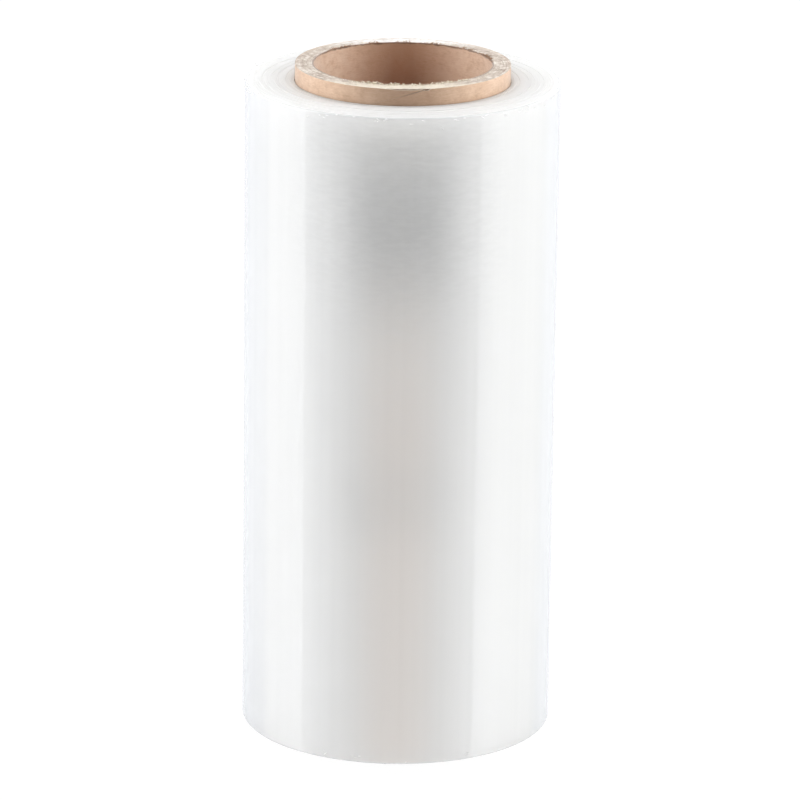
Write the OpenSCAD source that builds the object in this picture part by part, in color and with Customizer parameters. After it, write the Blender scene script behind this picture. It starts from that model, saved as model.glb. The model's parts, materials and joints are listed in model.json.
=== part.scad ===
// Roll of clear protective film, wound on a cardboard core that stands out a little at both ends.
// Sizes are in millimetres. The roll stands upright on its core: the origin is at the centre of the
// core's lower end, and +Z runs up the axis.

/* [Core] */
// Inside diameter of the cardboard core
core_bore_d = 76.2; // [30:0.1:160]
// Wall of the core, from its bore to the first turn of film
core_wall = 7.8; // [3:0.1:15]
// Length of core that stands out past the film at each end
core_overhang = 7.2; // [2:0.1:30]
// Bevel that the cut leaves on both lips of each end of the core
lip_bevel = 0.4; // [0.1:0.1:1]

/* [Film] */
// Width of the film, which is the height of the winding
film_width = 285; // [50:1:1000]
// Depth of film on the core, from the first turn to the last
film_build = 21.2; // [5:0.1:80]
// Radius of the winding's outer corners
corner_r = 0.8; // [0.2:0.1:2]

/* [Turns] */
// Rings of turns that can be told apart on each end of the winding
ring_count = 16; // [4:1:40]
// Furthest that a ring of turns wandered up or down the core while it was wound
ring_drift = 0.22; // [0.02:0.01:0.6]

/* [Hidden] */
$fn = 180;

core_bore_r = core_bore_d / 2;
core_r = core_bore_r + core_wall;
core_length = film_width + 2 * core_overhang;

film_r = core_r + film_build;
film_bottom = core_overhang;
film_top = film_bottom + film_width;
ring_width = (film_build - corner_r) / ring_count;

// Segments that round each outer corner of the winding
corner_steps = 6;
// The golden angle keeps neighbouring rings at unlike heights, with no pattern that repeats
wander_angle = 137.5;

// How far ring i sits above its true place. A turn keeps its width, so both of its edges move alike.
function drift(i) = ring_drift * sin(i * wander_angle);

// One end of the winding at height z: the flats of the rings, from the core out to the corner
function end_rings(z) = [
    for (i = [0 : ring_count - 1])
        for (edge = [i, i + 1])
            if (edge < ring_count)
                [core_r + edge * ring_width, z + drift(i)]
];

// The outer corner of that end, as a quarter round between two angles about its centre at height z
function corner(z, from, to) = [
    for (s = [0 : corner_steps])
        let (angle = from + (to - from) * s / corner_steps)
            [film_r - corner_r + corner_r * cos(angle), z + corner_r * sin(angle)]
];

function reversed(points) = [for (i = [len(points) - 1 : -1 : 0]) points[i]];

// The tube that the film is wound on: spirally wound board plies, glued to one solid and cut to length
module cardboard_core() {
    color([0.79, 0.62, 0.47])
        rotate_extrude()
            polygon([
                [core_bore_r + lip_bevel, 0],
                [core_r - lip_bevel, 0],
                [core_r, lip_bevel],
                [core_r, core_length - lip_bevel],
                [core_r - lip_bevel, core_length],
                [core_bore_r + lip_bevel, core_length],
                [core_bore_r, core_length - lip_bevel],
                [core_bore_r, lip_bevel]
            ]);
}

// All the turns of film as one solid, with the rings of turns showing on both ends
module film_winding() {
    last_drift = drift(ring_count - 1);
    color([0.93, 0.94, 0.94])
        rotate_extrude()
            polygon(concat(
                end_rings(film_top),
                corner(film_top + last_drift - corner_r, 90, 0),
                corner(film_bottom + last_drift + corner_r, 0, -90),
                reversed(end_rings(film_bottom))
            ));
}

cardboard_core();
film_winding();
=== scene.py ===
# %% [markdown]
# # A roll of clear film on a cardboard core
#
# The roll has two kinds of stuff in it. A stiff tube of wound board, the core, stands out a few
# millimetres at both ends. Hundreds of turns of thin clear film are wound on it, so tight that they
# look like one pale, glossy block. The CAD model gives the sizes and the place of both, and this
# lesson dresses it: fine meshes take the place of the plain solids, and each gets its own finish.
#
# The first cell loads the CAD model as a fixed frame and reads every size from it, so that nothing
# has to be measured twice. Everything is in metres, with +Z up the roll.

# %% Load the CAD model and read its sizes
import json
import math
import random
from collections import namedtuple

import bpy
from mathutils import Matrix, Vector, noise

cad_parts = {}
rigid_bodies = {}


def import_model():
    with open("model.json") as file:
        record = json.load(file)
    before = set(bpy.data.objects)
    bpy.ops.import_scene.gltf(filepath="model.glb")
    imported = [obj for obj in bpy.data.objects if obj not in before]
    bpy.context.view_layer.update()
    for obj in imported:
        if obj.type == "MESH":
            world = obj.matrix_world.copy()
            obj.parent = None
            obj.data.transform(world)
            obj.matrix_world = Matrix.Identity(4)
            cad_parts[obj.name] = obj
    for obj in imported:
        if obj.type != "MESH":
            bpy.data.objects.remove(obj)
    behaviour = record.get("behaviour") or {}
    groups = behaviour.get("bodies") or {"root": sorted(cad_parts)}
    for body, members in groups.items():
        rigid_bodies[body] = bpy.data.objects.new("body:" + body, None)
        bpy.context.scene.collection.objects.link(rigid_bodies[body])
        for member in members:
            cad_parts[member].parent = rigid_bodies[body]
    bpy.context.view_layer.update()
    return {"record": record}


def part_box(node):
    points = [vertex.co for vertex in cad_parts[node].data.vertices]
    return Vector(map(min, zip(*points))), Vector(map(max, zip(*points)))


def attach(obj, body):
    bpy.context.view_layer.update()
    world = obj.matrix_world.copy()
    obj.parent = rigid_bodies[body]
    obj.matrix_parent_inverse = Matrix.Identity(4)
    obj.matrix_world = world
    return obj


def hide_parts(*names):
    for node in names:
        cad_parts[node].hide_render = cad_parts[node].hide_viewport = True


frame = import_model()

MM = 0.001

core_low, core_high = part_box("cardboard_core")
film_low, film_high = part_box("film_winding")
bore_mount = [m for m in frame["record"]["mounts"] if m["name"] == "core_bore"][0]

CORE_BOTTOM = core_low[2]
CORE_TOP = core_high[2]
CORE_R = core_high[0]
BORE_R = bore_mount["dims"]["r_mm"] * MM
FILM_R = film_high[0]
print(f"core {2000 * CORE_R:.1f} mm across, bore {2000 * BORE_R:.1f} mm, {1000 * CORE_TOP:.1f} mm long")
print(f"film {2000 * FILM_R:.1f} mm across, from {1000 * film_low[2]:.1f} to {1000 * film_high[2]:.1f} mm up")

# %% [markdown]
# ## The camera
#
# The roll is seen from a little above, through a long lens, so that its sides stay almost parallel.
# A camera can be aimed with a Track To constraint, but that can't lean it. Here its axes are worked
# out and written into its matrix: one line of sight, and a small lean about it.

# %% Camera
AIM = Vector((0.46, 0.0, 149.8)) * MM
DISTANCE = 2430.0 * MM
ELEVATION = math.radians(17.08)
LEAN = math.radians(0.707)
LENS_MM = 253.0
SENSOR_MM = 36.0


def lean_matrix(place, aim, lean=0.0):
    """Axes of a camera or a lamp at place that looks at aim, leaned about its line of sight."""
    ahead = (aim - place).normalized()
    right = ahead.cross(Vector((0, 0, 1))).normalized()
    up = right.cross(ahead)
    right_leaned = right * math.cos(lean) + up * math.sin(lean)
    up_leaned = up * math.cos(lean) - right * math.sin(lean)
    axes = Matrix((right_leaned, up_leaned, -ahead)).transposed()
    return Matrix.Translation(place) @ axes.to_4x4()


scene = bpy.context.scene
lens = bpy.data.cameras.new("camera")
lens.lens = LENS_MM
lens.sensor_width = SENSOR_MM
lens.clip_end = 50.0
camera = bpy.data.objects.new("camera", lens)
scene.collection.objects.link(camera)
camera_place = AIM + DISTANCE * Vector((0, -math.cos(ELEVATION), math.sin(ELEVATION)))
camera.matrix_world = lean_matrix(camera_place, AIM, LEAN)
scene.camera = camera
scene.view_settings.view_transform = "Standard"
print("camera at", [round(v, 3) for v in camera_place])

# %% [markdown]
# ## A small kit for making shader nodes
#
# Every finish below is a node tree, and so is the world. Blender makes one node at a time, so a few
# short helpers keep the trees readable: one adds a node and fills its sockets, from a value or from
# another node's output, and the others make the kinds of node that come up again and again.

# %% Node helpers
class Nodes:
    """A node tree, with short ways to add to it."""

    def __init__(self, tree):
        self.tree = tree
        tree.nodes.clear()

    def node(self, kind, inputs=None, **settings):
        made = self.tree.nodes.new(kind)
        for key, value in settings.items():
            setattr(made, key, value)
        for socket, value in (inputs or {}).items():
            self.fill(made.inputs[socket], value)
        return made

    def fill(self, socket, value):
        """Links another node's output to a socket, or gives it a value. Colours leave out their alpha."""
        if isinstance(value, bpy.types.NodeSocket):
            self.tree.links.new(value, socket)
        elif socket.type == "RGBA":
            socket.default_value = (*value, 1.0)
        else:
            socket.default_value = value

    def math(self, operation, a, b=0.0, clamp=False):
        return self.node("ShaderNodeMath", {0: a, 1: b}, operation=operation, use_clamp=clamp).outputs[0]

    def weighted(self, *parts):
        """A sum of (value, weight) pairs."""
        total = None
        for value, weight in parts:
            share = self.math("MULTIPLY", value, weight)
            total = share if total is None else self.math("ADD", total, share)
        return total

    def noise(self, vector, scale, detail, roughness):
        sockets = {"Vector": vector, "Scale": scale, "Detail": detail, "Roughness": roughness}
        return self.node("ShaderNodeTexNoise", sockets).outputs["Fac"]

    def ramp(self, factor, stops):
        """Turns a factor into a colour or a grey, from (place, colour) stops."""
        made = self.node("ShaderNodeValToRGB", {0: factor})
        band = made.color_ramp
        while len(band.elements) < len(stops):
            band.elements.new(0.5)
        for element, (place, colour) in zip(band.elements, stops):
            element.position = place
            if not isinstance(colour, tuple):
                colour = (colour, colour, colour)
            element.color = (*colour, 1.0)
        return made.outputs[0]

    def mix(self, factor, first, second, blend="MIX"):
        # The node keeps its colours at sockets 6 and 7, after those for numbers and vectors
        made = self.node("ShaderNodeMix", data_type="RGBA", blend_type=blend)
        for socket, value in ((0, factor), (6, first), (7, second)):
            self.fill(made.inputs[socket], value)
        return made.outputs[2]

    def spread(self, value, low, high, to_low=0.0, to_high=1.0, shape="LINEAR"):
        """Maps low to to_low and high to to_high, and holds those values beyond them."""
        sockets = {0: value, 1: low, 2: high, 3: to_low, 4: to_high}
        return self.node("ShaderNodeMapRange", sockets, interpolation_type=shape).outputs[0]

    def bump(self, height, strength, distance):
        sockets = {"Height": height, "Strength": strength, "Distance": distance}
        return self.node("ShaderNodeBump", sockets).outputs[0]


class Finish(Nodes):
    """The nodes of a new material."""

    def __init__(self, name):
        self.material = bpy.data.materials.new(name)
        self.material.use_nodes = True
        super().__init__(self.material.node_tree)

    def principled(self, **sockets):
        """A Principled shader. Its sockets are named with underscores for their spaces."""
        named = {name.replace("_", " "): value for name, value in sockets.items()}
        return self.node("ShaderNodeBsdfPrincipled", named).outputs[0]

    def done(self, shader):
        """Ends the tree with its shader, and gives the material."""
        self.node("ShaderNodeOutputMaterial", {"Surface": shader})
        return self.material


SurfacePlace = namedtuple("SurfacePlace", "point x y height radius")


def surface_place(finish):
    """Where a point of the roll is: its place, its X, Y and height, and its distance from the axis."""
    point = finish.node("ShaderNodeTexCoord").outputs["Object"]
    parts = finish.node("ShaderNodeSeparateXYZ", {0: point}).outputs
    flat = finish.node("ShaderNodeCombineXYZ", {"X": parts["X"], "Y": parts["Y"]}).outputs[0]
    radius = finish.node("ShaderNodeVectorMath", {0: flat}, operation="LENGTH").outputs["Value"]
    return SurfacePlace(point, parts["X"], parts["Y"], parts["Z"], radius)


def stretched(finish, at, across, up):
    """A texture position with its own scale across the roll and up it, which has no seam anywhere."""
    scale = (across, across, up)
    return finish.node("ShaderNodeVectorMath", {0: at.point, 1: scale}, operation="MULTIPLY").outputs[0]


def ringed(finish, at, rings, around):
    """A texture position that changes fast away from the axis and slowly round it."""
    parts = {
        "X": finish.math("MULTIPLY", at.radius, rings),
        "Y": finish.math("MULTIPLY", at.x, around),
        "Z": finish.math("MULTIPLY", at.y, around),
    }
    return finish.node("ShaderNodeCombineXYZ", parts).outputs[0]


print("node kit ready")

# %% [markdown]
# ## Floor, background and lamps
#
# The roll stands on a white floor before a white background. To the camera both are plain white,
# apart from the roll's soft shadow. The film is lit by two tall softboxes, one on each side, which
# leave its middle darker. A soft lamp overhead lights the top end, a weak one in front fills the
# middle, and a small one below stands in for the light that a bright floor sends up. Film is a
# mirror of its surroundings as well as a pale block, so the lamps that light it and the bright and
# dark shapes that it mirrors are set apart from each other: lamps for the light, cards for the
# mirror image, as a photographer does.

# %% World
WHITE = (1.0, 1.0, 1.0)
BLACK = (0.0, 0.0, 0.0)
AMBIENT = (0.06, 0.06, 0.061)
# What the film mirrors near the horizon, from the camera's side (-1) round to the far side (1)
MIRRORED = [
    (-0.95, (1.34, 1.30, 1.23)),
    (-0.80, (1.08, 1.06, 1.04)),
    (-0.50, (0.90, 0.89, 0.88)),
    (-0.20, (0.92, 0.92, 0.91)),
    (0.40, (0.42, 0.44, 0.49)),
    (0.65, (0.49, 0.52, 0.57)),
    (0.95, (0.86, 0.88, 0.93)),
]
# The same further down, where the floor before the roll is a little warmer
MIRRORED_LOW = [
    (-0.95, (1.26, 0.97, 0.77)),
    (-0.80, (1.06, 1.00, 0.94)),
    (-0.50, (0.90, 0.89, 0.88)),
    (-0.20, (0.92, 0.91, 0.90)),
    (0.40, (0.42, 0.44, 0.49)),
    (0.65, (0.49, 0.52, 0.57)),
    (0.95, (0.90, 0.92, 0.96)),
]
# The same further up, where the studio is dimmer on the camera's side
MIRRORED_ABOVE = [
    (-1.0, (0.35, 0.35, 0.35)),
    (0.0, (0.50, 0.50, 0.51)),
    (0.9, (0.88, 0.90, 0.93)),
]
# Heights, as the Z of a direction, where one of these gives way to the next
LOW_TO_HORIZON = (-0.295, -0.265)
HORIZON_TO_ABOVE = (0.0, 0.22)


def make_world():
    """White to the camera, a faint even light on the roll, and a studio that only the gloss mirrors."""
    world = bpy.data.worlds.new("studio")
    scene.world = world
    world.use_nodes = True
    nodes = Nodes(world.node_tree)
    ray = nodes.node("ShaderNodeLightPath").outputs
    place = nodes.node("ShaderNodeTexCoord").outputs["Generated"]
    direction = nodes.node("ShaderNodeSeparateXYZ", {0: place}).outputs
    to_far_side = nodes.spread(direction["Y"], -1.0, 1.0)

    def surround(stops):
        """Colours by direction. A ramp keeps them at 1 or less, so they go in halved and come out doubled."""
        halved = [(0.5 * (along_y + 1.0), tuple(0.5 * c for c in colour)) for along_y, colour in stops]
        colour = nodes.ramp(to_far_side, halved)
        return nodes.node("ShaderNodeVectorMath", {0: colour, "Scale": 2.0}, operation="SCALE").outputs[0]

    past_low = nodes.spread(direction["Z"], *LOW_TO_HORIZON)
    past_horizon = nodes.spread(direction["Z"], *HORIZON_TO_ABOVE)
    near_horizon = nodes.mix(past_low, surround(MIRRORED_LOW), surround(MIRRORED))
    mirrored = nodes.mix(past_horizon, near_horizon, surround(MIRRORED_ABOVE))
    lit = nodes.mix(ray["Is Glossy Ray"], AMBIENT, mirrored)
    seen = nodes.mix(ray["Is Camera Ray"], lit, WHITE)
    background = nodes.node("ShaderNodeBackground", {"Color": seen}).outputs[0]
    nodes.node("ShaderNodeOutputWorld", {"Surface": background})
    world.cycles.sampling_method = "NONE"
    return world


studio = make_world()
print("world", studio.name)

# %% Floor
FLOOR_HALF = 8.0
FLOOR_COLOUR = (0.86, 0.86, 0.86)
# Share of plain white over the shadow: less close to the roll, and all of it further out
FLOOR_WHITE = 0.93
FLOOR_GLOW = 1.05
SHADOW_NEAR = 0.12
SHADOW_FAR = 0.40


def flat_sheet(name, corners, material, hidden_from):
    """One flat face of the studio, hidden from the kinds of ray that are named."""
    mesh = bpy.data.meshes.new(name)
    mesh.from_pydata(corners, [], [range(len(corners))])
    mesh.materials.append(material)
    sheet = bpy.data.objects.new(name, mesh)
    scene.collection.objects.link(sheet)
    for kind in hidden_from:
        setattr(sheet, f"visible_{kind}", False)
    return sheet


def floor_finish():
    finish = Finish("floor_white")
    matt = finish.node("ShaderNodeBsdfDiffuse", {"Color": FLOOR_COLOUR}).outputs[0]
    white = finish.node("ShaderNodeEmission", {"Color": WHITE, "Strength": FLOOR_GLOW}).outputs[0]
    camera_ray = finish.node("ShaderNodeLightPath").outputs["Is Camera Ray"]
    place = finish.node("ShaderNodeTexCoord").outputs["Object"]
    away = finish.node("ShaderNodeVectorMath", {0: place}, operation="LENGTH").outputs["Value"]
    whiteness = finish.spread(away, SHADOW_NEAR, SHADOW_FAR, FLOOR_WHITE, 1.0)
    share = finish.math("MULTIPLY", camera_ray, whiteness)
    return finish.done(finish.node("ShaderNodeMixShader", {0: share, 1: matt, 2: white}).outputs[0])


# The tall lamps reach below the floor, and light the roll's foot as if the floor weren't there
floor_corners = [(x * FLOOR_HALF, y * FLOOR_HALF, 0.0) for x, y in ((-1, -1), (1, -1), (1, 1), (-1, 1))]
floor = flat_sheet("floor", floor_corners, floor_finish(), ("glossy", "shadow"))
print("floor", [round(v, 2) for v in floor.dimensions])

# %% Lamps
def lamp(name, place, aim, width, height, power, colour=WHITE):
    """A rectangular softbox that lights the roll but doesn't show in its gloss. Its power is in watts."""
    light = bpy.data.lights.new(name, "AREA")
    light.shape = "RECTANGLE"
    light.size = width
    light.size_y = height
    light.energy = power
    light.color = colour
    made = bpy.data.objects.new(name, light)
    scene.collection.objects.link(made)
    made.matrix_world = lean_matrix(Vector(place), Vector(aim))
    made.visible_glossy = False
    made.visible_camera = False
    return made


MIDDLE = (0.0, 0.0, 0.15)
lamp("softbox_left", (-1.0, -0.04, 0.47), MIDDLE, 0.7, 1.3, 13.7, (1.0, 0.995, 0.99))
lamp("softbox_right", (1.0, -0.04, 0.47), MIDDLE, 0.7, 1.3, 14.1, (1.0, 0.995, 0.985))
lamp("front_fill", (0.0, -1.6, 0.5), MIDDLE, 0.6, 1.0, 2.6)
lamp("overhead", (0.0, 0.12, 1.3), (0.0, 0.0, 0.3), 0.5, 0.5, 6.2)
# Stands in for the light that a bright floor sends up into the roll's lower end
lamp("foot_light", (0.0, -0.08, -0.5), (0.0, 0.0, 0.0), 0.2, 0.2, 0.43)
print("lamps", [o.name for o in scene.objects if o.type == "LIGHT"])

# %% Light stop under the core
# The disc and the dark arcs lie just below the floor
BELOW_FLOOR = -0.001
STOP_CORNERS = 64


def make_light_stop():
    """A disc under the core that keeps the light from below out of its bore."""
    finish = Finish("light_stop")
    black = finish.done(finish.node("ShaderNodeBsdfDiffuse", {"Color": BLACK}).outputs[0])
    turns = [2 * math.pi * corner / STOP_CORNERS for corner in range(STOP_CORNERS)]
    rim = [(CORE_R * math.cos(turn), CORE_R * math.sin(turn), BELOW_FLOOR) for turn in turns]
    hidden_from = ("camera", "diffuse", "glossy", "transmission", "volume_scatter")
    stop = flat_sheet("light_stop", rim, black, hidden_from)
    return stop


light_stop = make_light_stop()
print("light stop", [round(v, 3) for v in light_stop.dimensions])

# %% Cards that the film mirrors
CARD_X = 0.8
CARD_LOW = -1.6
CARD_HIGH = 2.4
# The arcs fade in between these directions, given as Y over the distance from the axis
ARC_SIDE = -0.60
ARC_FRONT = -0.98


def card(name, corners, glow, opacity=None):
    """A flat shape that is seen only in the gloss of the roll. glow and opacity take the finish."""
    finish = Finish(name)
    shader = glow(finish)
    if opacity:
        clear = finish.node("ShaderNodeBsdfTransparent").outputs[0]
        shader = finish.node("ShaderNodeMixShader", {0: opacity(finish), 1: clear, 2: shader}).outputs[0]
    material = finish.done(shader)
    material.cycles.emission_sampling = "NONE"
    hidden_from = ("camera", "diffuse", "transmission", "volume_scatter", "shadow")
    made = flat_sheet(name, corners, material, hidden_from)
    return made


def wall_card(name, side, colour, steps):
    """An upright card beside the roll. steps are (Y, strength) pairs, from its near edge to its far one."""
    near, far = steps[0][0], steps[-1][0]

    def glow(finish):
        share = finish.spread(surface_place(finish).y, near, far)
        top = max(strength for _, strength in steps)
        fade = finish.ramp(share, [((y - near) / (far - near), strength / top) for y, strength in steps])
        strength = finish.math("MULTIPLY", fade, top)
        return finish.node("ShaderNodeEmission", {"Color": colour, "Strength": strength}).outputs[0]

    x = side * CARD_X
    corners = [(x, near, CARD_LOW), (x, far, CARD_LOW), (x, far, CARD_HIGH), (x, near, CARD_HIGH)]
    return card(name, corners, glow)


def dark_card(name, near, middle, far, darkness):
    """A dark soft arc on the floor before the roll, as the gap between two lights makes."""

    def glow(finish):
        return finish.node("ShaderNodeEmission", {"Color": BLACK, "Strength": 0.0}).outputs[0]

    def opacity(finish):
        at = surface_place(finish)
        ahead = finish.math("DIVIDE", at.y, at.radius)
        fades = ((at.radius, near, middle), (at.radius, far, middle), (ahead, ARC_SIDE, ARC_FRONT))
        share = darkness
        for value, start, end in fades:
            share = finish.math("MULTIPLY", share, finish.spread(value, start, end, shape="SMOOTHSTEP"))
        return share

    back = -0.4 * near
    corners = [(x, y, BELOW_FLOOR) for x, y in ((-far, -far), (far, -far), (far, back), (-far, back))]
    return card(name, corners, glow, opacity)


wall_card("card_left", -1, (1.0, 1.0, 1.0), [(-0.265, 1.42), (-0.10, 1.0), (0.08, 0.80), (0.317, 0.65)])
wall_card("card_right_dim", 1, (1.0, 1.0, 0.99), [(-0.50, 1.40), (-0.28, 1.15)])
wall_card("card_right", 1, (1.0, 1.0, 0.98), [(-0.28, 1.25), (-0.10, 0.88), (0.15, 0.55), (0.55, 0.42)])
dark_card("card_dark", 0.705, 0.97, 1.255, 0.97)
dark_card("card_dark_low", 0.355, 0.455, 0.555, 0.44)
print("cards", [o.name for o in scene.objects if o.name.startswith("card_")])

# %% [markdown]
# ## The film's finish
#
# One turn of film is clear. Hundreds of them, each with a little haze and air, send light back at
# every layer, so the winding looks milky white with a bright gloss. A single layer of clear plastic
# has an IOR of 1.5, and a stack of layers mirrors more than that, which a higher IOR stands for. Two
# kinds of gloss lie over each other: a broad one from the layers below, and a thin sharp one, the
# coat, from the smooth outer turn. Flat ripples, about a hundredth of a millimetre high, disturb only
# the coat's mirror image. On the camera's side near the top, fine grey flecks are painted into the
# colour as well: a painted mottle of the dark mirror image there.

# %% Film, side
# How far light wanders inside the milky winding
SCATTER = {"Subsurface_Weight": 0.5, "Subsurface_Radius": (1.0, 1.0, 0.96), "Subsurface_Scale": 0.03}
PLASTIC_IOR = 1.5
STACK_IOR = 2.0
# Only the coat's mirror image shows the slopes of ripples this low
RIPPLE_HEIGHT = 0.03 * MM
# Painted grey mottle, high up on the camera's side: heights and Y where it starts and is full
PAINTED_MOTTLE_HEIGHTS = (190 * MM, 235 * MM)
PAINTED_MOTTLE_SIDE = (-45 * MM, -58 * MM)


def film_side_finish():
    finish = Finish("film_side")
    at = surface_place(finish)
    # Short flat ripples in the outer turn, which also shape the painted mottle
    ripples = finish.noise(stretched(finish, at, 170.0, 560.0), 1.0, 2.0, 0.6)
    # Faint lines up the roll, where the turns below lie a touch tighter or looser
    lines = finish.noise(stretched(finish, at, 240.0, 2.0), 1.0, 2.0, 0.5)
    cloud = finish.noise(stretched(finish, at, 14.0, 9.0), 1.0, 2.0, 0.5)
    tone = finish.weighted((lines, 0.5), (cloud, 0.5))
    smooth = finish.ramp(tone, [(0.38, (0.78, 0.79, 0.795)), (0.62, (0.80, 0.81, 0.815))])
    # At the top on the camera's side the ripples paint grey flecks: painted mottle of the dark mirror image
    high_up = finish.spread(at.height, *PAINTED_MOTTLE_HEIGHTS)
    painted_mottle_zone = finish.math("MULTIPLY", high_up, finish.spread(at.y, *PAINTED_MOTTLE_SIDE))
    painted_mottle = finish.ramp(ripples, [(0.36, 0.955), (0.64, 0.995)])
    painted_mottle_colour = finish.mix(1.0, smooth, painted_mottle, "MULTIPLY")
    shader = finish.principled(
        Base_Color=finish.mix(painted_mottle_zone, smooth, painted_mottle_colour), Roughness=0.27, IOR=PLASTIC_IOR, **SCATTER,
        Coat_Weight=1.0, Coat_Roughness=0.035, Coat_IOR=STACK_IOR,
        Coat_Normal=finish.bump(ripples, 1.0, RIPPLE_HEIGHT),
    )
    return finish.done(shader)


# %% Film, ends
# Greyer near the core, as far out as this: partly the brown core seen through, partly painted corner shade
CORE_SHADE_REACH = 6 * MM


def film_end_finish():
    finish = Finish("film_end")
    at = surface_place(finish)
    # The edges of single turns, as fine circles that fade in and out on their way round
    rings = finish.noise(ringed(finish, at, 3000.0, 20.0), 1.0, 3.0, 0.6)
    cloud = finish.noise(at.point, 45.0, 3.0, 0.6)
    tone = finish.weighted((rings, 0.5), (cloud, 0.5))
    pale = finish.ramp(tone, [(0.34, (0.775, 0.78, 0.775)), (0.66, (0.81, 0.815, 0.815))])
    # Painted contact shade in the corner by the core, with the brown core seen through, greys the end there
    near_core_shade = finish.spread(at.radius, CORE_R + CORE_SHADE_REACH, CORE_R, 0.0, 0.6)
    shader = finish.principled(
        Base_Color=finish.mix(near_core_shade, pale, (0.60, 0.585, 0.56)),
        Roughness=finish.spread(rings, 0.3, 0.7, 0.40, 0.55),
        Normal=finish.bump(rings, 0.08, 0.2 * MM), IOR=PLASTIC_IOR, **SCATTER,
    )
    return finish.done(shader)


print("film finishes ready")

# %% [markdown]
# ## The winding of film
#
# A lathe makes this shape: one outline, turned about the axis. The outline follows the CAD solid,
# with the same rounded corners and the same rings of turns on the ends. Each of those rings is then
# split into finer ones, as the turns never stack quite level. A Screw modifier could turn the
# outline, but here the points are placed one by one, so that each ring can rise and fall a little on
# its way round, and the side can carry the faint ridge where the last turn ends.

# %% Helpers for lathe meshes
def mesh_piece(name, points, faces, materials, face_material=None, sharp_angle=40.0):
    """An object from points and faces, smooth apart from its sharp edges."""
    mesh = bpy.data.meshes.new(name)
    mesh.from_pydata(points, [], faces)
    for material in materials:
        mesh.materials.append(material)
    if face_material:
        mesh.polygons.foreach_set("material_index", face_material)
    mesh.polygons.foreach_set("use_smooth", [True] * len(mesh.polygons))
    mesh.set_sharp_from_angle(angle=math.radians(sharp_angle))
    mesh.validate()
    piece = bpy.data.objects.new(name, mesh)
    scene.collection.objects.link(piece)
    print(name, len(points), "points", len(faces), "faces")
    return piece


def on_circle(radius, angle, height):
    """A point on the roll: the angle counts from the side near the camera towards +X."""
    return (radius * math.sin(angle), -radius * math.cos(angle), height)


def wobble(angle, size, third):
    """A number from -1 to 1 that drifts along a circle and meets itself again. third picks the circle."""
    return noise.noise(Vector((size * math.sin(angle), size * math.cos(angle), third)))


def closed_lathe(rows, spokes):
    """Outward faces that join closed rows of points, each with as many points as there are spokes."""
    faces = []
    for row in range(rows):
        above = (row + 1) % rows
        for spoke in range(spokes):
            beside = (spoke + 1) % spokes
            faces.append((row * spokes + spoke, above * spokes + spoke,
                          above * spokes + beside, row * spokes + beside))
    return faces


# %% Outline of the winding
RING_COUNT = 16
FINE_RINGS = 4
# The CAD source's pattern of drift, at about half its height, and a little more for each fine ring
RING_DRIFT = 0.10 * MM
FINE_DRIFT = 0.025 * MM
WANDER = math.radians(137.5)
# A groove takes this share of a fine ring's width on each side
GROOVE = 0.16
# The first turns sit a little low, which leaves a dark line round the core
FIRST_SUNK = 0.35 * MM
FIRST_GROOVE = 0.12 * MM
# Points of the outline beside the core: how far out from it, and how far below the film's end
FIRST_TURNS = [(0.02 * MM, 2 * MM), (0.22 * MM, 1.1 * MM)]
RING_SEED = 7
CORNER_R = 0.8 * MM
CORNER_STEPS = 6
SIDE_ROWS = 30
# Half of the film's width. The CAD solid's box is a little longer, as some of its rings stand out.
FILM_HALF = 142.5 * MM
FILM_MIDDLE = 0.5 * (film_low[2] + film_high[2])
RING_WIDTH = (FILM_R - CORNER_R - CORE_R) / RING_COUNT


def ring_rise(ring):
    """How far a ring of turns sits above its true place."""
    return RING_DRIFT * math.sin(ring * WANDER)


def end_rings():
    """The fine rings of one end as (radius, rise, number), two points to a ring, from the core out."""
    rng = random.Random(RING_SEED)
    end = []
    for number in range(RING_COUNT * FINE_RINGS):
        ring = number // FINE_RINGS
        inner = CORE_R + number / FINE_RINGS * RING_WIDTH
        outer = CORE_R + (number + 1) / FINE_RINGS * RING_WIDTH
        rise = ring_rise(ring) + rng.uniform(-FINE_DRIFT, FINE_DRIFT)
        gap = GROOVE * (outer - inner)
        if number == 0:
            rise -= FIRST_SUNK
            gap += FIRST_GROOVE
        end += [(inner + gap, rise, number), (outer - gap, rise, number)]
    return end


def quarter_round(height, start, end):
    """Rows of an outer corner between two angles in degrees, about its centre at one height."""
    centre = FILM_R - CORNER_R
    turns = [math.radians(start + (end - start) * step / CORNER_STEPS) for step in range(CORNER_STEPS + 1)]
    return [(centre + CORNER_R * math.cos(turn), height + CORNER_R * math.sin(turn), None) for turn in turns]


def winding_outline():
    """Rows of the lathe as (radius, height, fine ring or None), all round from the inner top edge."""
    top, bottom = FILM_MIDDLE + FILM_HALF, FILM_MIDDLE - FILM_HALF
    end = end_rings()
    last = ring_rise(RING_COUNT - 1)
    rows = [(CORE_R + out, top - depth, None) for out, depth in FIRST_TURNS]
    rows += [(radius, top + rise, number) for radius, rise, number in end]
    rows += quarter_round(top + last - CORNER_R, 90, 0)
    rows += [(FILM_R, top - level * (top - bottom) / SIDE_ROWS, None) for level in range(1, SIDE_ROWS)]
    rows += quarter_round(bottom + last + CORNER_R, 0, -90)
    rows += [(radius, bottom + rise, number) for radius, rise, number in reversed(end)]
    rows += [(CORE_R + out, bottom + depth, None) for out, depth in reversed(FIRST_TURNS)]
    return rows


# %% Winding of film
SPOKES = 220
TAIL_ANGLE = math.radians(148.0)
TAIL_STEP = 0.10 * MM
# Angle, in radians, over which the surface drops by that step at the film's free end
TAIL_EDGE = 0.004
# How much a ring rises and falls on its way round, and how uneven the side is
RING_WOBBLE = 0.03 * MM
SIDE_WOBBLE = 0.02 * MM


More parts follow.
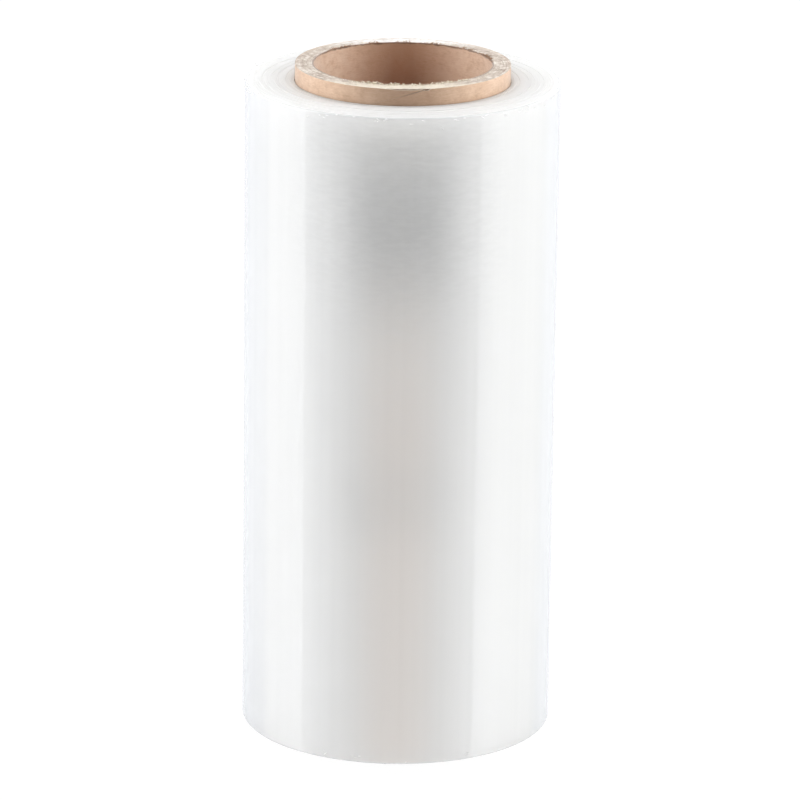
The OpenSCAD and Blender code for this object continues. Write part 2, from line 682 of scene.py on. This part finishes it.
def tail_drop(angle, height):
    """The outer turn's surface drops by one step at the film's free end, and climbs back on its way round."""
    # The free edge isn't quite straight
    edge = TAIL_ANGLE + 0.004 * math.sin(height * 31.0) + 0.002 * math.sin(height * 83.0 + 1.0)
    past = (angle - edge) % (2 * math.pi)
    climb = 1.0 - past / (2 * math.pi)
    return -TAIL_STEP * min(climb, past / TAIL_EDGE)


def make_winding():
    rows = winding_outline()
    angles = [2 * math.pi * spoke / SPOKES for spoke in range(SPOKES)]
    points = []
    for radius, height, ring in rows:
        for angle in angles:
            r, z = radius, height
            if ring is not None:
                z += RING_WOBBLE * wobble(angle, 2.2, ring * 1.7)
            if radius > FILM_R - 0.5 * CORNER_R:
                r += tail_drop(angle, height)
                r += SIDE_WOBBLE * wobble(angle, 9, height * 12.0)
            points.append(on_circle(r, angle, z))
    faces = closed_lathe(len(rows), SPOKES)
    # The flat ends take their own finish
    beside = rows[1:] + rows[:1]
    is_end = [row[2] is not None or after[2] is not None for row, after in zip(rows, beside)]
    face_material = [int(flag) for flag in is_end for _ in range(SPOKES)]
    return mesh_piece("film_turns", points, faces, [film_side_finish(), film_end_finish()], face_material)


film_turns = make_winding()
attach(film_turns, "root")
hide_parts("film_winding")

# %% [markdown]
# ## The board's finishes
#
# The core is wound from strips of brown board. Its two outer faces are smooth kraft paper, tan with
# faint fibres and cloudy patches, each with a patch of painted shade: inside, at the back, darker
# down the bore, and outside, at the front, where it is partly a stain. The cut ends show the raw
# board: greyer, speckled and rough, with pale fibres where the saw broke them out. The glued faces
# between the layers are the darkest, and show only through a seam or a chip.

# %% Kraft paper
# Dark, middle and light tones of the paper
KRAFT_OUTSIDE = [(0.605, 0.39, 0.255), (0.725, 0.50, 0.345), (0.825, 0.605, 0.45)]
KRAFT_INSIDE = [(0.70, 0.475, 0.325), (0.84, 0.62, 0.47), (0.91, 0.71, 0.56)]
# A thin ragged dark line just below the sawn edges inside the tube
DARK_LIP_LINE = (0.27, 0.155, 0.10)
# Partly a stain, partly painted shade where the side lamps leave the front middle dim
STAIN_AND_SHADE_OUTSIDE = (0.42, 0.26, 0.17)
# Painted shade on the bore's back wall, near the ends and deeper in
BORE_SHADE_NEAR_END = (0.50, 0.275, 0.17)
BORE_SHADE_DEEPER = (0.34, 0.16, 0.10)
# Sideways distances from the middle where the patch of painted shade and stain begins and where it is full
SHADE_AND_STAIN_SIDEWAYS = (28 * MM, 4 * MM)
# Distance from the middle, towards the patch's own side, where it is full
SHADE_AND_STAIN_DEPTH = 20 * MM
CORE_HALF = 0.5 * (CORE_TOP - CORE_BOTTOM)
CORE_MIDDLE = 0.5 * (CORE_TOP + CORE_BOTTOM)


def kraft_finish(name, tones, is_inside):
    """Smooth brown paper with a patch of painted shade, outside also a stain, and a thin dark line by the
    sawn edges inside.
    """
    finish = Finish(name)
    at = surface_place(finish)
    fibres = finish.noise(stretched(finish, at, 420.0, 1900.0), 1.0, 3.0, 0.65)
    blotch = finish.noise(at.point, 260.0, 4.0, 0.65)
    wide = finish.noise(at.point, 55.0, 2.0, 0.5)
    tone = finish.weighted((fibres, 0.35), (blotch, 0.4), (wide, 0.25))
    colour = finish.ramp(tone, list(zip((0.38, 0.5, 0.62), tones)))
    # A patch on one side of each paper: at the back inside it is painted shade, darker deeper in the bore,
    # and at the front outside it is partly a stain, partly painted shade where the side lamps leave it dim
    to_side = finish.spread(at.y, 0.0, SHADE_AND_STAIN_DEPTH if is_inside else -SHADE_AND_STAIN_DEPTH)
    shade_and_stain_patch = finish.math("MULTIPLY", to_side, finish.spread(finish.math("ABSOLUTE", at.x), *SHADE_AND_STAIN_SIDEWAYS))
    if is_inside:
        from_middle = finish.math("ABSOLUTE", finish.math("SUBTRACT", at.height, CORE_MIDDLE))
        # Painted shade of the bore: darker deeper in
        deeper = finish.spread(from_middle, CORE_HALF - 3 * MM, CORE_HALF - 22 * MM)
        bore_shade = finish.mix(deeper, BORE_SHADE_NEAR_END, BORE_SHADE_DEEPER)
        colour = finish.mix(finish.math("MULTIPLY", shade_and_stain_patch, 0.85), colour, bore_shade)
        # Darker in a thin ragged line just below the sawn edges
        wander = finish.spread(blotch, 0.35, 0.65, -0.45 * MM, 0.25 * MM)
        ragged = finish.math("ADD", from_middle, wander)
        near_edge = finish.spread(ragged, CORE_HALF - 1.0 * MM, CORE_HALF - 0.4 * MM)
        colour = finish.mix(near_edge, colour, DARK_LIP_LINE)
    else:
        # Outside the patch is partly a stain, partly painted shade at the front middle
        colour = finish.mix(finish.math("MULTIPLY", shade_and_stain_patch, 0.60), colour, STAIN_AND_SHADE_OUTSIDE)
    shader = finish.principled(
        Base_Color=colour, Roughness=finish.spread(blotch, 0.3, 0.7, 0.55, 0.72), IOR=1.6,
        Normal=finish.bump(finish.math("ADD", fibres, blotch), 0.25, 0.3 * MM),
        Sheen_Weight=0.6, Sheen_Roughness=0.5,
    )
    return finish.done(shader)


# %% Cut board
BOARD_GREYS = [(0.36, (0.36, 0.28, 0.23)), (0.5, (0.64, 0.56, 0.49)), (0.62, (0.88, 0.84, 0.79))]
BROKEN_FRONT = (0.82, 0.75, 0.635)
BROKEN_BACK = (0.93, 0.905, 0.88)


def cut_board_finish():
    finish = Finish("board_cut")
    at = surface_place(finish)
    plies = finish.noise(ringed(finish, at, 2300.0, 60.0), 1.0, 2.0, 0.5)
    specks = finish.noise(at.point, 650.0, 3.0, 0.7)
    patch = finish.noise(at.point, 160.0, 3.0, 0.6)
    tone = finish.weighted((plies, 0.3), (specks, 0.45), (patch, 0.25))
    # The saw broke out pale fibres where it came in and where it went out
    to_side = finish.spread(finish.math("ABSOLUTE", at.y), 30 * MM, 39 * MM)
    pale = finish.math("MULTIPLY", to_side, finish.spread(tone, 0.36, 0.50, 0.35, 1.0), clamp=True)
    broken = finish.mix(finish.spread(at.y, -20 * MM, 20 * MM), BROKEN_FRONT, BROKEN_BACK)
    rough = finish.math("ADD", finish.math("ADD", plies, specks), patch)
    shader = finish.principled(
        Base_Color=finish.mix(pale, finish.ramp(tone, BOARD_GREYS), broken), Roughness=0.88, IOR=1.3,
        Normal=finish.bump(rough, 0.5, 0.4 * MM),
    )
    return finish.done(shader)


# %% Torn paper fibres and glued board
def fibre_finish(name, colour_low, colour_high):
    """Loose fibres: a soft uneven colour and no gloss."""
    finish = Finish(name)
    grain = finish.noise(surface_place(finish).point, 1400.0, 3.0, 0.6)
    colour = finish.ramp(grain, [(0.35, colour_low), (0.65, colour_high)])
    normal = finish.bump(grain, 0.3, 0.2 * MM)
    return finish.done(finish.principled(Base_Color=colour, Roughness=0.9, IOR=1.3, Normal=normal))


kraft_inside = kraft_finish("kraft_inside", KRAFT_INSIDE, is_inside=True)
kraft_outside = kraft_finish("kraft_outside", KRAFT_OUTSIDE, is_inside=False)
cut_board = cut_board_finish()
glued_board = fibre_finish("board_glued", (0.17, 0.10, 0.065), (0.28, 0.175, 0.115))
print("board finishes ready")

# %% [markdown]
# ## The core
#
# The real tube is strips of board wound in a spiral and glued, one over another. The innermost and
# outermost strips show as smooth paper with a seam that climbs round the tube, and the layers between
# show only at the cut ends. So the model has the same make-up: a body of board with rough ends, and
# one long strip of kraft paper wound round it inside and out, with a narrow gap between its turns.

# %% Body of the core
PLY = 0.45 * MM
BODY_SPOKES = 320
BODY_PLIES = 14
# Each ply is level over the middle of its width, and its glued edge lies this much lower
PLY_LEVEL = (0.3, 0.75)
PLY_EDGE_DIP = 0.09 * MM
# The cut end lies this far below the true plane on average, and is this uneven, coarsely and finely
CUT_DEPTH = 0.10 * MM
CUT_COARSE = 0.07 * MM
CUT_FINE = 0.06 * MM


def rough_end(radius, angle, seed):
    """How far above the true plane a point of the cut end is, which is mostly below it."""
    where = Vector((radius * 900 * math.sin(angle), radius * 900 * math.cos(angle), seed))
    return -CUT_DEPTH + CUT_COARSE * noise.noise(where * 0.45) + CUT_FINE * noise.noise(where * 2.1)


def make_core_body():
    inner, outer = BORE_R + PLY, CORE_R - PLY
    ply_width = (outer - inner) / BODY_PLIES
    end = []
    for ply in range(BODY_PLIES):
        start = inner + ply * ply_width
        end.append((start, -PLY_EDGE_DIP))
        end += [(start + share * ply_width, 0.0) for share in PLY_LEVEL]
    end.append((outer, -PLY_EDGE_DIP))
    rows = [(radius, dip, 1) for radius, dip in end] + [(radius, dip, 0) for radius, dip in reversed(end)]
    points = []
    for radius, dip, is_top in rows:
        for spoke in range(BODY_SPOKES):
            angle = 2 * math.pi * spoke / BODY_SPOKES
            rise = rough_end(radius, angle, 3.0 + is_top) + dip
            points.append(on_circle(radius, angle, CORE_TOP + rise if is_top else CORE_BOTTOM - rise))
    faces = closed_lathe(len(rows), BODY_SPOKES)
    # The two walls, which only the seams and the chips let show, are darker with glue
    walls = (len(end) - 1, len(rows) - 1)
    face_material = [int(row in walls) for row in range(len(rows)) for _ in range(BODY_SPOKES)]
    return mesh_piece("core_board", points, faces, [cut_board, glued_board], face_material, 60.0)


core_board = make_core_body()
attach(core_board, "root")
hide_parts("cardboard_core")

# %% Kraft strips, inside and out
SEAM_PITCH = 84.0 * MM
# The seam gapes this wide at a cut end, and closes to this little over this much depth
SEAM_GAP = 0.34 * MM
SEAM_CLOSED = 0.05 * MM
SEAM_CLOSES = 4.5 * MM
STRIP_STEP = math.radians(1.5)
STRIP_ROWS = 10
# Both cut edges of a strip lie this far inside the core's length, and the upper one is this ragged
STRIP_TRIM = 0.05 * MM
STRIP_RAGGED = 0.10 * MM
STRIP_THINNEST = 0.001 * MM
# The outer strip stays this far inside the first turn of film
WRAP_CLEARANCE = 0.02 * MM
# Chips in the upper lip: angle in degrees, half of the width along the lip and depth, both in mm
OUTER_CHIPS = [(12.8, 1.4, 0.7), (3.0, 11.5, 0.48)]
INNER_CHIPS = [
    (222, 2.2, 0.55),
    (208, 1.5, 0.35),
    (121, 2.0, 0.5),
    (131, 1.4, 0.4),
    (160, 1.2, 0.3),
    (20, 1.4, 0.4),
]


def chip_angles(chips, radius):
    """Chips as (centre, half width, depth), in radians, radians and metres."""
    return [(math.radians(centre), half * MM / radius, depth * MM) for centre, half, depth in chips]


def strip_top(angle, chips, seed):
    """Height of the strip's cut upper edge: slightly ragged, with a few chips."""
    turn = angle % (2 * math.pi)
    drop = STRIP_TRIM + abs(STRIP_RAGGED * wobble(turn, 30, seed))
    for centre, half_width, depth in chips:
        off = abs((turn - centre + math.pi) % (2 * math.pi) - math.pi)
        if off < half_width:
            drop += depth * (1 - (off / half_width) ** 2)
    return CORE_TOP - drop


def seam_height(degrees):
    """Height of a seam at angle 0, for a seam that reaches the core's top at an angle in degrees."""
    return CORE_TOP - SEAM_PITCH * math.radians(degrees) / (2 * math.pi)


def half_gap(height):
    """Half of the seam's width: it gapes at the cut ends and closes further in."""
    from_end = max(0.0, min(height - CORE_BOTTOM, CORE_TOP - height))
    return 0.5 * (SEAM_CLOSED + (SEAM_GAP - SEAM_CLOSED) * max(0.0, 1.0 - from_end / SEAM_CLOSES))


def make_strip(name, material, edge_material, radius_in, radius_out, start_height, chips, seed):
    """One long paper strip wound in a spiral, trimmed level with both ends of the core."""
    first = -2 * math.pi * (SEAM_PITCH + start_height - CORE_BOTTOM) / SEAM_PITCH
    last = 2 * math.pi * (CORE_TOP - start_height) / SEAM_PITCH
    count = int((last - first) / STRIP_STEP)
    points = []
    for step in range(count + 1):
        angle = first + (last - first) * step / count
        top = strip_top(angle, chips, seed)
        seam = start_height + SEAM_PITCH * angle / (2 * math.pi)
        low = min(max(seam + half_gap(seam), CORE_BOTTOM + STRIP_TRIM), top)
        high = max(min(seam + SEAM_PITCH - half_gap(seam + SEAM_PITCH), top), low + STRIP_THINNEST)
        heights = [low + (high - low) * row / STRIP_ROWS for row in range(STRIP_ROWS + 1)]
        points += [on_circle(radius_in, angle, height) for height in heights]
        points += [on_circle(radius_out, angle, height) for height in reversed(heights)]
    loop = 2 * (STRIP_ROWS + 1)
    faces = []
    for step in range(count):
        for k in range(loop):
            n = (k + 1) % loop
            faces.append((step * loop + k, step * loop + n, (step + 1) * loop + n, (step + 1) * loop + k))
    faces.append(tuple(reversed(range(loop))))
    faces.append(tuple(count * loop + k for k in range(loop)))
    # The strip's edges show the raw board that it is made of
    edges = (STRIP_ROWS, loop - 1)
    face_material = [int(k in edges) for _ in range(count) for k in range(loop)] + [1, 1]
    return mesh_piece(name, points, faces, [material, edge_material], face_material, 50.0)


core_liner = make_strip(
    "core_liner", kraft_inside, kraft_inside, BORE_R, BORE_R + PLY,
    seam_height(20.0), chip_angles(INNER_CHIPS, BORE_R), 5.0,
)
core_wrap = make_strip(
    "core_wrap", kraft_outside, cut_board, CORE_R - PLY, CORE_R - WRAP_CLEARANCE,
    seam_height(13.5), chip_angles(OUTER_CHIPS, CORE_R), 9.0,
)
for strip in (core_liner, core_wrap):
    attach(strip, "root")
    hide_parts("cardboard_core")

# %% [markdown]
# ## Loose fibres at the core's lips
#
# The saw tears the board as much as it cuts it. Pale fibres stand up along the inner lip, and here and
# there a scrap of the brown paper hangs loose. A hair system could grow such fibres, but each of them
# would then need to be turned into a mesh. They are few and short, so each one is made as a small
# closed spike instead: a bent spine with a three-sided skin that tapers to a point.

# %% Spikes
SPIKE_STEPS = 3
# Share of its thickness that a spike loses from its root to its tip, where it ends in a point
SPIKE_TAPER = 0.75


def add_spike(points, faces, root, tip, bend, thickness):
    """A closed, bent, three-sided spike from root to tip."""
    ahead = (tip - root).normalized()
    side = ahead.orthogonal().normalized()
    up = ahead.cross(side)
    first = len(points)
    for step in range(SPIKE_STEPS):
        share = step / SPIKE_STEPS
        middle = root.lerp(tip, share) + bend * (4 * share * (1 - share))
        width = thickness * (1 - SPIKE_TAPER * share)
        for edge in range(3):
            turn = 2 * math.pi * edge / 3
            points.append(middle + (side * math.cos(turn) + up * math.sin(turn)) * width)
    points.append(tip)
    for step in range(SPIKE_STEPS - 1):
        for edge in range(3):
            a = first + step * 3 + edge
            b = first + step * 3 + (edge + 1) % 3
            faces.append((a, b, b + 3, a + 3))
    last = first + (SPIKE_STEPS - 1) * 3
    for edge in range(3):
        faces.append((last + edge, last + (edge + 1) % 3, first + SPIKE_STEPS * 3))
    faces.append((first + 2, first + 1, first))


def out_and_up(angle, outward, along, upward):
    """A vector at one angle of the roll, from its parts away from the axis, round it and up."""
    s, c = math.sin(angle), math.cos(angle)
    return Vector((s * outward + c * along, -c * outward + s * along, upward))


# %% Fibres on both ends of the core
LIP_R = BORE_R + 0.35 * MM
# A fibre starts this far inside the core's end, and may stand out this far past the upper one
FIBRE_DEPTH = 0.25 * MM
FIBRE_HEADROOM = 0.9 * MM
FIBRE_BEND = 0.12
# One fibre in this many is at the lower end
FIBRE_BELOW = 4


def make_fibres(name, material, count, seed, centres, spread, radii, lengths, thickness, lift):
    """Spikes round the core's ends, most of them gathered near some of its angles."""
    rng = random.Random(seed)
    points, faces = [], []
    for index in range(count):
        angle = math.radians(rng.choice(centres)) + rng.gauss(0.0, spread)
        radius = rng.uniform(*radii)
        length = rng.uniform(*lengths)
        heading = rng.uniform(0, 2 * math.pi)
        flat = length * math.cos(lift)
        outward, along = flat * math.cos(heading), flat * math.sin(heading)
        upward = length * math.sin(lift) * rng.uniform(0.3, 1.0)
        is_top = index % FIBRE_BELOW != 0
        level, sign = (CORE_TOP - FIBRE_DEPTH, 1) if is_top else (CORE_BOTTOM + FIBRE_DEPTH, -1)
        root = Vector(on_circle(radius, angle, level))
        tip = root + out_and_up(angle, outward, along, sign * upward)
        tip.z = min(max(tip.z, CORE_BOTTOM), CORE_TOP + FIBRE_HEADROOM)
        bend = out_and_up(angle, 0.0, 0.0, sign * FIBRE_BEND * length)
        add_spike(points, faces, root, tip, bend, thickness * rng.uniform(0.6, 1.2))
    piece = mesh_piece(name, [tuple(p) for p in points], faces, [material], sharp_angle=70.0)
    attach(piece, "root")


cream = fibre_finish("fibre_cream", (0.72, 0.64, 0.51), (0.88, 0.83, 0.72))
brown = fibre_finish("fibre_brown", (0.30, 0.18, 0.115), (0.50, 0.33, 0.22))
make_fibres(
    "core_fibres_pale", cream, count=420, seed=21,
    centres=(-32, -20, -10, 0, 12, 25, 38, 150, 215), spread=0.16,
    radii=(LIP_R, LIP_R + 2.2 * MM), lengths=(0.7 * MM, 1.9 * MM),
    thickness=0.13 * MM, lift=math.radians(35),
)
make_fibres(
    "core_flakes_pale", cream, count=130, seed=24,
    centres=(-24, -16, -6, -2, 8, 20, 27, 31, 40), spread=0.05,
    radii=(LIP_R - 0.3 * MM, LIP_R + 0.4 * MM), lengths=(1.0 * MM, 2.0 * MM),
    thickness=0.36 * MM, lift=math.radians(42),
)
make_fibres(
    "core_fibres_brown", brown, count=240, seed=22,
    centres=(104, 110, 116, 135, 160, 180, 200, 222, 232), spread=0.06,
    radii=(LIP_R - 0.2 * MM, LIP_R + 0.5 * MM), lengths=(0.7 * MM, 2.0 * MM),
    thickness=0.20 * MM, lift=math.radians(28),
)

# %% [markdown]
# ## Frayed bits at the film's rims
#
# The edge of a thin film frays: tiny curls and slivers of it stand out along the rims of the roll and
# catch the light. They are made from the same spikes as the fibres, but flat against the side, and a
# single thin layer of film that curls up is whiter than the winding below it. Few of them are at the
# lower rim.

# %% Frayed bits
FRAYED_BITS = 150
FRAYED_SEED = 23
# One bit in this many is at the lower rim
FRAYED_BELOW = 15
# They start this far inside the film's surface, and the nearest this far from its end
FRAYED_SUNK = 0.10 * MM
FRAYED_DEPTH = 0.5 * MM


def frayed_finish():
    finish = Finish("film_frayed")
    return finish.done(finish.principled(Base_Color=(0.94, 0.945, 0.95), Roughness=0.35, IOR=PLASTIC_IOR))


def make_frayed_bits(count, seed):
    rng = random.Random(seed)
    points, faces = [], []
    for index in range(count):
        angle = rng.uniform(0, 2 * math.pi)
        is_top = index % FRAYED_BELOW != 0
        depth = FRAYED_DEPTH + abs(rng.gauss(0.0, 1.5)) * MM
        height = film_high[2] - depth if is_top else film_low[2] + depth
        length = rng.uniform(0.6, 2.0) * MM
        slope = rng.gauss(0.0, 0.35)
        root = Vector(on_circle(FILM_R - FRAYED_SUNK, angle, height))
        tip = root + out_and_up(angle, 0.12 * MM, length * math.cos(slope), length * math.sin(slope))
        bend = out_and_up(angle, 0.16 * MM, 0.0, 0.0)
        add_spike(points, faces, root, tip, bend, rng.uniform(0.14, 0.30) * MM)
    points = [tuple(p) for p in points]
    piece = mesh_piece("film_frayed_bits", points, faces, [frayed_finish()], sharp_angle=70.0)
    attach(piece, "root")


make_frayed_bits(FRAYED_BITS, FRAYED_SEED)
